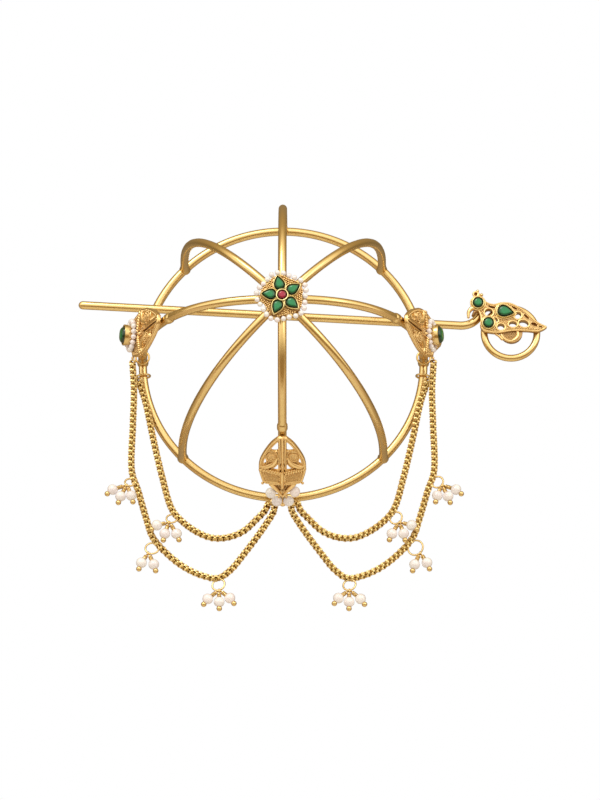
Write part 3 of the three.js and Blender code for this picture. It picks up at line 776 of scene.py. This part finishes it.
def crest_work(angle):
    """All of one crest's gold, soldered together."""
    work = Work(crest_seat(angle))
    half = smooth_line([(0, -0.5), *CREST_EDGE], 6)
    outline = np.vstack([half, mirrored(half[1:].tolist())])
    gaps = []
    for gap in (LANCET, OUTER_GAP, INNER_GAP):
        gaps += [smooth_line(side, 5, closed=True) for side in (gap, mirrored(gap))]
    face = CREST_THICKNESS
    # The sheet, rosettes, cup, scales and post carry painted shade through their marks, heaviest in the cup.
    work.add(pierced(outline, gaps, face), 0.2)
    work.add(edge_wire(outline, CREST_WIRE, face, CREST_WIRE, 10))
    work.add(edge_wire(outline, 1.02, face, 0.17))
    work.add(edge_grains(outline, 0.7, 0.5, face + 0.14, 0.24))
    for gap in gaps:
        work.add(edge_wire(gap, -0.15, face, 0.16))

    # The raised bar: a bright wire between two thinner ones, two diamonds, and a post at the foot.
    for side in (-1, 1):
        edge = [(side * x, y, face + 0.2) for x, y in ((0.95, 4.6), (0.95, 12), (0.75, 19))]
        work.add(tube(edge, 0.24, 8))
    work.add(tube([(0, 8.6, face + 0.5), (0, 14, face + 0.55), (0, 19.2, face + 0.4)], 0.33, 12))
    diamond = [(1, 0), (0.8, 0.3), (0.3, 0.8), (0.02, 0.85)]
    for level, size in ((7.8, 0.72), (5.6, 0.6)):
        work.add(moved(lathe(diamond, 8), [0, level, face], [size, 1.5 * size, 1]))
    post = [(-0.1, 5, face + 0.5), (-0.15, 2.4, face + 0.75), (-0.1, -0.9, face + 0.5)]
    work.add(tube(smooth_line(post, 6), 0.5, 12))

    for side in (-1, 1):
        x, y = side * ROSETTE[0], ROSETTE[1]
        work.add(moved(domed(ROSETTE_RADIUS, 1), [x, y, face], ROSETTE_STRETCH), 0.25)
        spiral = []
        for share in np.sqrt(np.linspace(0.005, 1, 46)):
            reach = ROSETTE_RADIUS * share
            turn = side * 2 * math.pi * 3 * share
            lift = math.sqrt(max(0, 1 - share**2))
            spiral.append((reach * math.cos(turn), reach * math.sin(turn), lift))
        work.add(grains(spiral * ROSETTE_STRETCH + [x, y, face], 0.2))
        hoop = disc_outline(ROSETTE_RADIUS + 0.12, 36) * ROSETTE_STRETCH[:2] + [x, y]
        work.add(tube(on_plane(hoop, face + 0.1), 0.2, 8, closed=True))
        leaf_line = smooth_line([(side * px, py, face + 0.2) for px, py in LEAF_LINE], 8)
        swell = np.sin(np.linspace(0.15, math.pi - 0.3, len(leaf_line)))
        work.add(tube(leaf_line, 0.25 + 0.5 * swell, 12))
        rope_start = (side * 0.6, ROPE_FOOT, face + 0.3)
        rope_end = (side * 6.1, ROPE_FOOT + 5.5 * ROPE_RISE, face + 0.3)
        for strand in rope(rope_start, rope_end, 0.36, 1.5):
            work.add(strand)
        under = [(side * 0.8, 0.55, face + 0.1), (side * 5.3, 1.5, face + 0.1)]
        work.add(tube(under, 0.2, 8))
        work.add(grains([(side * 5.5, 0.5, face)], 0.42))

    # Fine granulation wherever the sheet is bare between the wires, gaps, rope and rosettes.
    field = staggered(np.arange(0.3, 19, 0.42), np.arange(-6.6, 6.7, 0.44), 0.22)
    rope_level = ROPE_FOOT + (np.abs(field[:, 0]) - 0.6) * ROPE_RISE
    keep = depth_within(field, outline) > 1.15
    keep &= (np.abs(field[:, 0]) > 0.7) & (np.abs(field[:, 1] - rope_level) > 0.75)
    for gap in gaps:
        keep &= depth_within(field, gap) < -0.32
    for side in (-1, 1):
        off = (field - [side * ROSETTE[0], ROSETTE[1]]) / ROSETTE_STRETCH[:2]
        keep &= np.hypot(*off.T) > ROSETTE_RADIUS + 0.3
    jitter = 0.04
    places = [[c + draw.uniform(-jitter, jitter) for c in spot] for spot in field[keep]]
    work.add(grains(on_plane(places, face), 0.19))

    # The cup below: two flared leaves and, between them, small overlapping scales to a point.
    cup = [(0, -5.4), (1.3, -3.6), (3.3, 0.2), (-3.3, 0.2), (-1.3, -3.6)]
    work.add(moved(pierced(smooth_line(cup, 6, closed=True), [], 0.9), [0, 0, -0.4]), 0.7)
    for side in (-1, 1):
        flare = [(3.1, 0, 0.6), (1.9, -1.7, 0.9), (0.9, -3.6, 0.8), (0.1, -5.4, 0.6)]
        flare = smooth_line([(side * x, y, z) for x, y, z in flare], 8)
        work.add(tube(flare, np.linspace(0.75, 0.3, len(flare)), 12))
    scales = []
    for row in range(8):
        level = -0.6 - 0.6 * row
        half_width = max(0, 1.9 * (level + 5.4) / 5)
        count = max(1, int(2 * half_width / 0.62) + 1)
        offsets = np.linspace(-half_width, half_width, count) if count > 1 else [0]
        scales += [(x, level, 0.55) for x in offsets]
    work.add(grains(scales, 0.34), 0.45)

    # The post that carries the crest on its rib.
    work.add(tube([(0, 5.2, -1.1), (0, 5.2, 0.4)], 0.85, 14), 0.3)
    return work


for side_name, angle, _ in SIDES:
    forge(f"crest_leaf_{side_name}", crest_work(angle), grained_gold, [f"crest_{side_name}"])


# Bottom crest: the same leaf as at the sides, made the same way, with four pearls on pins
# soldered into its cup and a gold ball on a wire between them.
CREST_PEARLS = {
    "left_upper": (-3.3, -3.6),
    "left_lower": (-1.65, -7.1),
    "right_lower": (1.65, -7.1),
    "right_upper": (3.4, -3.1),
}
crest = crest_work(BOTTOM)
heart = np.array([0, -3, 0.4])
for x, y in CREST_PEARLS.values():
    reach = np.array([x, y, 0.9]) - heart
    end = heart + reach * (1 - PEARL_RADIUS / np.linalg.norm(reach))
    crest.add(tube([heart, end], CREST_WIRE, 10), 0.1)
crest.add(tube([heart, (0, -8.4, 0)], CREST_WIRE, 10), 0.1)
crest.add(moved(pearl_form(1.0), [0, -9, 0]))
forge("crest_leaf_bottom", crest, grained_gold, ["crest_bottom"])
for name, (x, y) in CREST_PEARLS.items():
    away = np.array([x, y, 0]) - [0, -3, 0]
    lie = seated((x, y, 0.9), (0, 0, 1), away / np.linalg.norm(away))
    pearl = Work(crest.seat).add(laid(pearl_form(PEARL_RADIUS, 28, 18), lie), draw.random())
    forge(f"crest_pearl_drop_{name}", pearl, nacre, [f"crest_pearl_{name}"])


# Side gems: a round domed emerald in a plain cup at the foot of each side crest, turned a
# little upwards, with a string of seed pearls behind it.
GEM_SEAT = (42.05, 22.4)
GEM_SHIFT = [-0.35, 0, 0.7]
GEM_TILT = math.radians(15)
GEM_RADIUS = 2.4
GEM_STRING_RADIUS = 4
GEM_PEARL_COUNT = 16
for side_name, angle, _ in SIDES:
    along = dome_point(-math.sin(GEM_TILT), angle, math.cos(GEM_TILT))
    outward = dome_point(math.cos(GEM_TILT), angle, math.sin(GEM_TILT))
    seat = seated(dome_point(GEM_SEAT[0], angle, GEM_SEAT[1]) + GEM_SHIFT, along, outward)
    rim = GEM_RADIUS + 0.15
    cup_profile = [(0.02, -0.8), (rim - 0.1, -0.8), (rim + 0.1, -0.5), (rim + 0.25, 0.4)]
    cup_profile += [(rim + 0.42, 1.9), (rim + 0.36, 2.12), (rim + 0.15, 2.2), (rim, 2.1)]
    cup = Work(seat).add(lathe([*cup_profile, (rim, 1), (0.02, 1)], 48))
    cup.add(tube(on_plane(disc_outline(rim + 0.2), -0.15), 0.3, 10, closed=True))
    forge(f"gem_cup_wall_{side_name}", cup, drawn_gold, [f"gem_cup_{side_name}"])
    gem = Work(seat).add(*stone(disc_outline(GEM_RADIUS), 1.9, 1.15))
    forge(f"gem_emerald_{side_name}", gem, emerald, [f"gem_stone_{side_name}"], crease=60)
    string = pearl_string(
        Work(seat), GEM_PEARL_COUNT, lambda _: GEM_STRING_RADIUS, 0, 0.05, (0.95, 1.04)
    )
    forge(f"gem_seed_pearls_{side_name}", string, nacre, [f"gem_pearl_string_{side_name}"])


# Chain loops: rings of plain wire closed round the ribs and the base ring, which the ends of
# the chains hang from.
LOOP_RADIUS = 1.9
LOOP_WIRE = 0.3
RIB_LOOP_HEIGHT = 5
RING_LOOP_TURN = 0.1
BOTTOM_LOOP_TURN = 0.095


def wire_ring(centre, axis, radius, wire, steps=48, sides=12):
    """A closed ring of wire round a point, with its axis along a direction."""
    axis = np.asarray(axis, float) / np.linalg.norm(axis)
    along = np.cross(axis, np.eye(3)[np.argmin(np.abs(axis))])
    along /= np.linalg.norm(along)
    line = on_plane(disc_outline(radius, steps), 0)
    return tube(seated(centre, along, axis)(line), wire, sides, closed=True)


def round_ring(angle):
    """A loop's centre and axis where it closes round the base ring."""
    return dome_point(RING_RADIUS, angle, 0), (-math.sin(angle), 0, math.cos(angle))


for side_name, angle, side in SIDES:
    spots = {
        "rib": (dome_point(rib_radius(RIB_LOOP_HEIGHT), angle, RIB_LOOP_HEIGHT), (0, 1, 0)),
        "ring": round_ring(angle - side * RING_LOOP_TURN),
        "bottom": round_ring(BOTTOM + side * BOTTOM_LOOP_TURN),
    }
    for spot, (centre, axis) in spots.items():
        loop = Work().add(wire_ring(centre, axis, LOOP_RADIUS, LOOP_WIRE))
        forge(f"{spot}_chain_loop_{side_name}", loop, drawn_gold, [f"{spot}_loop_{side_name}"])


# Chains: double cable chain of paired oval rings, each pair threaded through its neighbours at a
# quarter turn, with grains at every second pair in paler gold, a painted highlight. Two festoons a side meet
# under the ring.
LINK_HALF_LENGTH = 0.62
LINK_HALF_WIDTH = 0.86
LINK_WIRE = 0.23
LINK_PITCH = 0.78
LINK_APART = 0.21
CHAIN_DEPTH = 2.4
CHAIN_GRAIN_RADIUS = 0.42
CHAIN_GRAIN_REACH = 0.5
# The left side's routes as (x, z) points, from the side of the ring to its bottom.
OUTER_ROUTE = [
    (-42.7, -1.4), (-42.2, -9.4), (-42.4, -19.5), (-42.5, -33), (-40.7, -38.5), (-38.2, -47),
    (-36.4, -52.1), (-32.4, -56.8), (-27.7, -60.6), (-22.6, -63.1), (-18, -63.9), (-14.5, -61.5),
    (-11.5, -57.8), (-4.8, -48.4), (-2.4, -44.2), (-2.6, -42.3),
]
INNER_ROUTE = [
    (-41, -6.2), (-38.9, -12.8), (-37, -21.6), (-34, -34.4), (-31.1, -44), (-28.1, -47.6),
    (-23.8, -50.7), (-19.7, -52.3), (-15.3, -52.1), (-11, -50.3), (-7.3, -46.8), (-4.9, -44.2),
    (-4.2, -42.5),
]
chain_gold = gold_finish("Chain gold", ("ECD49E", "DCBC7E"), (0.2, 0.3), 1.5, 0.004, "745628")


def chain_line(route, start_depth, side):
    """A chain's centreline on one side, as closely spaced points."""
    points = []
    for i, (x, z) in enumerate(route):
        share = min(1, i / 3, 0.35 + (len(route) - 1 - i) / 3)
        points.append((-side * x, -(start_depth + share * (CHAIN_DEPTH - start_depth)), z))
    return smooth_line(points, 40)


def linked_chain(line, seed):
    """Interlocked oval links along a line with a little free twist, and the grains on them."""
    centres = points_along(line, lambda length: np.linspace(0, length, round(length / LINK_PITCH)))
    ahead = np.gradient(centres, axis=0)
    ahead /= np.linalg.norm(ahead, axis=1, keepdims=True)
    oval = disc_outline(1, 16) * [LINK_HALF_LENGTH, LINK_HALF_WIDTH]
    link_spots, link_faces = tube(on_plane(oval, 0), LINK_WIRE, 6, closed=True)
    twist = random.Random(seed)
    drift = 0
    work, beads = Work(), Work()
    for i, (centre, line_ahead) in enumerate(zip(centres, ahead)):
        drift = 0.85 * drift + twist.uniform(-0.05, 0.05)
        front = np.array([0, 1, 0]) - line_ahead * line_ahead[1]
        front /= np.linalg.norm(front)
        across = np.cross(front, line_ahead)
        quarter = (i % 2 + 0.5) * math.pi / 2 + drift
        wide = math.cos(quarter) * across + math.sin(quarter) * front
        axes = np.array([line_ahead, wide, np.cross(line_ahead, wide)])
        for twin in (-LINK_APART, LINK_APART):
            work.add((centre + (link_spots + [0, 0, twin]) @ axes, link_faces))
        if i % 2:
            out = CHAIN_GRAIN_REACH * front
            beads.add(grains([centre + out, centre - out], CHAIN_GRAIN_RADIUS))
    return work, beads


chain_lines = {}
for side_name, _, side in SIDES:
    for row, route, start_depth in (("outer", OUTER_ROUTE, 5), ("inner", INNER_ROUTE, 2.8)):
        line = chain_line(route, start_depth, side)
        chain_lines[row, side_name] = line
        links, beads = linked_chain(line, len(chain_lines))
        solid = f"chain_{row}_{side_name}"
        forge(f"chain_grains_{row}_{side_name}", beads, bezel_gold, [solid])
        forge(f"linked_chain_{row}_{side_name}", links, chain_gold, [solid])


# Pearl clusters: two or three pearls on headed pins, each pin turned into its own eye on a
# jump ring that is threaded through the chain.
CLUSTER_DEPTH = 3.7
CLUSTER_SWING = 0.4
JUMP_RING_RADIUS = 1.6
JUMP_RING_WIRE = 0.26
PIN_WIRE = 0.2
EYE_RADIUS = 0.62
PEARL_LIFT = 1.35
BALL_RADIUS = 0.78
BALL_BELOW = 1.9
COIL_RADIUS = 0.42
# For the left side: the chain, the place of the ring's middle in x and z, and each pin's angle
# from straight down in degrees with the reach of its pearl.
CLUSTERS = [
    ("outer", -44.2, -35.7, [(-50, 5.1), (-17.5, 5.5), (15, 5.2)]),
    ("inner", -32.2, -46.5, [(-50, 4.4), (-12, 5.4), (22, 5.7)]),
    ("outer", -37.9, -55.4, [(-21, 5.1), (17, 5.5)]),
    ("outer", -18.1, -66.1, [(-35, 5.4), (1, 5.3), (36, 5.2)]),
]


def drop_forms(foot, centre, below):
    """One pin from its eye on the ring: the eye, the wrapped neck and the ball under the pearl."""
    reach = centre - foot
    length = np.linalg.norm(reach)
    ahead = reach / length
    axis = np.cross(ahead, [0, 1, 0])
    axis /= np.linalg.norm(axis)
    forms = [wire_ring(foot + ahead * 0.15, axis, EYE_RADIUS, PIN_WIRE, 20, 8)]
    wrap_start = EYE_RADIUS + 0.25
    wrap_end = max(wrap_start + 0.6, length - PEARL_RADIUS + 0.15)
    steps = np.linspace(0, 1, 60)
    side = np.cross(axis, ahead)
    turns = 2 * math.pi * steps[:, None] * (wrap_end - wrap_start) / COIL_RADIUS
    coil = foot + ahead * (wrap_start + (wrap_end - wrap_start) * steps[:, None])
    coil = coil + COIL_RADIUS * (np.cos(turns) * side + np.sin(turns) * axis)
    forms.append(tube(coil, PIN_WIRE, 7))
    end = centre + below * BALL_BELOW
    forms.append(tube([foot + ahead * wrap_start, end], PIN_WIRE, 8))
    forms.append(moved(pearl_form(BALL_RADIUS, 18, 12), end))
    return forms


for side_name, _, side in SIDES:
    for number, (row, x, z, drops) in enumerate(CLUSTERS, 1):
        middle = np.array([-side * x + CLUSTER_SWING, -CLUSTER_DEPTH, z])
        low = middle - [0, 0, JUMP_RING_RADIUS]
        line = chain_lines[row, side_name]
        nearest = line[np.argmin(np.linalg.norm((line - middle)[:, [0, 2]], axis=1))]
        threaded = nearest + 0.4 * (low - nearest) / np.linalg.norm(low - nearest)
        upright = (threaded - low) / np.linalg.norm(threaded - low)
        axis = np.array([0.25, 1, 0]) - upright * (np.array([0.25, 1, 0]) @ upright)
        half = np.linalg.norm(threaded - low) / 2
        ring = Work().add(wire_ring((threaded + low) / 2, axis, half, JUMP_RING_WIRE))
        which = f"{side_name}_{number}"
        forge(f"jump_ring_wire_{which}", ring, chain_gold, [f"jump_ring_{which}"])
        pins, pearls = Work(), Work()
        for degrees, reach in drops:
            angle = -side * math.radians(degrees)
            below = np.array([math.sin(angle), 0, -math.cos(angle)])
            centre = middle + below * reach - [0, PEARL_LIFT, 0]
            foot = low + [0.45 * math.sin(angle), -0.1, 0.1 - 0.35 * math.cos(angle)]
            for form in drop_forms(foot, centre, below):
                pins.add(form)
            lie = seated(centre, (0, 1, 0), below)
            pearls.add(laid(pearl_form(PEARL_RADIUS, 28, 18), lie), draw.random())
        forge(f"cluster_pins_{which}", pins, drawn_gold, [f"pearl_cluster_{which}"])
        forge(f"cluster_pearls_{which}", pearls, nacre, [f"pearl_cluster_{which}"])


# Hair stick: a straight gold rod with a rounded tip, whose other end is bent up and soldered
# behind the bird. It pushes through the dome under the ribs and through the bun.
STICK_RADIUS = 1.18
STICK_DEPTH = 2.7
BIRD = (63.35, 13.6)
tip = np.array([-58.5, -STICK_DEPTH, 16.6])
elbow = np.array([50.5, -STICK_DEPTH, 10.4])
corner = elbow + [3.6, 0, -0.1]
neck = np.array([BIRD[0] - 7.4, -STICK_DEPTH, BIRD[1] - 0.4])
toward = (elbow - tip) / np.linalg.norm(elbow - tip)
bend_shares = np.linspace(0, 1, 16)[1:, None]
bend = (1 - bend_shares) ** 2 * elbow + bend_shares**2 * neck
bend += 2 * bend_shares * (1 - bend_shares) * corner
straight = np.linspace(tip + toward * STICK_RADIUS, elbow, 30)
rod = Work().add(tube(np.vstack([straight, bend]), STICK_RADIUS, 20))
forge("stick_rod_wire", rod, drawn_gold, ["stick_rod"], body="stick")


# Bird finial: a peacock sawn from sheet and pierced, its edges and holes rimmed with wire, with
# granulation between them, three set emeralds and a scroll under its breast.
BIRD_THICKNESS = 1.2
BIRD_BACKING = 0.9
BIRD_OUTLINE = [
    (-7.25, -1.3), (-8.1, 0.6), (-9.4, 1.3), (-9.9, 2.7), (-9.2, 4.2), (-7.8, 4.8), (-6.3, 4.2), (-5.4, 3.1),
    (-3.4, 2.4), (-1.2, 2.9), (1.2, 2.8), (2.9, 2.1), (4.7, 1), (6.7, -0.7), (8.5, -2.5), (10.1, -3.6),
    (11.7, -4.5), (10.5, -5.5), (8.7, -6), (6.1, -5.8), (1.7, -5.8), (-2.3, -6.4), (-4.8, -6.2), (-6.5, -5.7),
    (-7.2, -4.6),
]
# Openings and shallow pockets: centre, half width, half height and lean.
BIRD_HOLES = [
    (-4.8, -0.3, 1.1, 1.1, 0), (-3.05, -2.6, 0.75, 0.7, 0), (-1.4, -4.6, 1, 0.9, 0),
    (2, -3.8, 1.1, 0.8, 0), (5.1, -3.6, 1.35, 0.95, -0.3), (3.5, -1.15, 0.85, 1.0, -0.5),
]
BIRD_POCKETS = [
    (-3.9, 1.5, 1.1, 0.38, -0.3), (2.6, 1.15, 0.95, 0.3, -0.5), (5.9, -1.45, 1, 0.36, -0.75),
    (8.1, -3.8, 1, 0.5, -0.4), (9.9, -4.4, 0.6, 0.3, -0.4),
]
PLUME = np.array([-8.35, 5.5, 0])
PLUME_RADIUS = 0.72
SCROLL_X = 1.6
SCROLL_RADIUS = 3.2
bird_seat = seated((BIRD[0], -STICK_DEPTH - 1.55, BIRD[1]), (0, 0, 1), (0, -1, 0))
face = BIRD_THICKNESS
bird = Work(bird_seat)
outline = smooth_line(BIRD_OUTLINE, 6, closed=True)


def sawn(rows):
    """The outlines of round or leaning oval openings."""
    oval = disc_outline(1, 28)
    return [turned(oval * [wide, high], lean) + [x, y] for x, y, wide, high, lean in rows]


holes = sawn(BIRD_HOLES)
pockets = sawn(BIRD_POCKETS)
# The sheet carries a little painted shade through its mark, and the backing sheet behind it much more.
bird.add(pierced(outline, holes + pockets, face), 0.35)
behind = inset_line(outline, 0.25)
bird.add(moved(pierced(behind, holes, BIRD_BACKING + 0.2), [0, 0, -BIRD_BACKING]), 0.8)
bird.add(edge_wire(outline, 0.26, face, 0.26, 10))
bird.add(edge_grains(outline, 0.66, 0.46, face + 0.1, 0.21))
for hole in holes:
    bird.add(edge_wire(hole, -0.26, face + 0.05, 0.28))
for pocket in pockets:
    bird.add(edge_wire(pocket, -0.1, face, 0.13))

# The plume is an open curl of wire round a disc that carries full painted shade, with one bead over it and
# one beside it.
curl_turns = np.linspace(math.radians(-50), math.radians(255), 20)
curl = arc(PLUME, PLUME_RADIUS, curl_turns)
bird.add(tube(on_plane(curl, 0.6), np.linspace(0.38, 0.24, 20), 10))
bird.add(moved(lathe([(0.02, 0.1), (0.7, 0.1), (0.7, 0.35), (0.02, 0.35)], 20), PLUME), 1)
bird.add(grains([(-7.8, 6.5, 0.6)], 0.4))
bird.add(grains([(-6.75, 5.25, 0.7)], 0.52))
bird.add(tube([(-7.3, 4.2, 0.5), (-7.4, 5.4, 0.5)], 0.35, 8), 0.2)

# The beak is a thick tapered wire that curls down over the end of the stick.
beak = smooth_line([(-8.4, 1.5, 0.7), (-9.7, 1, 0.9), (-10.5, -0.1, 1), (-10.6, -1.6, 0.9)], 8)
bird.add(tube(beak, np.linspace(0.85, 0.36, len(beak)), 14))
# The cheek under the beak carries painted shade through its mark.
cheek = smooth_line([(-7.6, 0.8, 0.4), (-8.6, 0.2, 0.6), (-9.3, -0.9, 0.4)], 8)
bird.add(tube(cheek, np.linspace(0.7, 0.4, len(cheek)), 12), 0.7)

# The scroll under the breast is a half disc of granulation, with painted shade, inside a thick wire that
# curls in.
half_disc = arc((SCROLL_X, -5.9), SCROLL_RADIUS, np.linspace(math.pi, 2 * math.pi, 24))
top = [(SCROLL_X + SCROLL_RADIUS, -5.4), (SCROLL_X - SCROLL_RADIUS, -5.4)]
bird.add(moved(pierced([*half_disc, *top], [], 1.3), [0, 0, -0.7]), 0.6)
scroll_turns = np.linspace(math.radians(185), math.radians(440), 34)
tightening = np.linspace(2.95, 1.3, 34)
curl = arc((SCROLL_X, -6.1), tightening, scroll_turns)
curl = curl[curl[:, 1] < -5.6]
bird.add(tube(on_plane(curl, 0.5), np.linspace(0.35, 0.55, len(curl)), 12))
bird.add(tube([(-2.9, -6.3, 0.3), (-1.9, -7, 0.4), (-1.1, -8, 0.45)], 0.4, 10))

wing = [turned(drop_outline(*size), -0.22) for size in ((4.6, 3.15), (4.95, 3.45))]
bird_stones = {
    "bird_eye_stone": (-7.82, 2.6, disc_outline(1.4), disc_outline(1.52)),
    "bird_wing_stone": (0, -0.1, *wing),
    "bird_breast_stone": (-4.97, -3.5, disc_outline(1.45), disc_outline(1.58)),
}
rims_work = Work(bird_seat)
for name, (x, y, cut, socket) in bird_stones.items():
    rims_work.add(moved(bezel(socket, 0.34, face - 0.1, 2.25), [x, y, 0]))
    outer_rim = inset_line(socket, -0.55) + [x, y]
    bird.add(tube(on_plane(outer_rim, face + 0.15), 0.22, 8, closed=True))
    form, rims = stone(cut, 1.2, face + 0.15)
    gem = Work(bird_seat).add(moved(form, [x, y, 0]), rims)
    forge(name.replace("_stone", "_emerald"), gem, emerald, [name], body="stick", crease=60)
forge("bird_bezels", rims_work, bezel_gold, ["bird_plate"], body="stick")
field = staggered(np.arange(-9.2, 5, 0.44), np.arange(-11, 12, 0.46), 0.23)
keep = depth_within(field, outline) > 0.9
for gap in holes + pockets:
    keep &= depth_within(field, gap) < -0.5
for x, y, _, socket in bird_stones.values():
    keep &= depth_within(field, socket + [x, y]) < -0.8
bird.add(grains(on_plane(field[keep], face), 0.21))
under = (np.hypot(field[:, 0] - 1.4, field[:, 1] + 5.9) < 2.2) & (field[:, 1] < -6)
bird.add(grains(on_plane(field[under], 0.6), 0.22), 0.35)
forge("bird_sheet", bird, grained_gold, ["bird_plate"], body="stick")


# Finial ring: one thick gold wire bent round and soldered shut, and fixed behind the breast of
# the bird.
FINIAL_RING_RADIUS = 7.5
FINIAL_RING_WIRE = 1
ring_centre = bird_seat(np.array([(1.45, -5.6, -FINIAL_RING_WIRE - 0.3)]))[0]
finial = Work().add(wire_ring(ring_centre, (0, 1, 0), FINIAL_RING_RADIUS, FINIAL_RING_WIRE, 96, 18))
forge("finial_wire_ring", finial, drawn_gold, ["finial_ring"], body="stick")
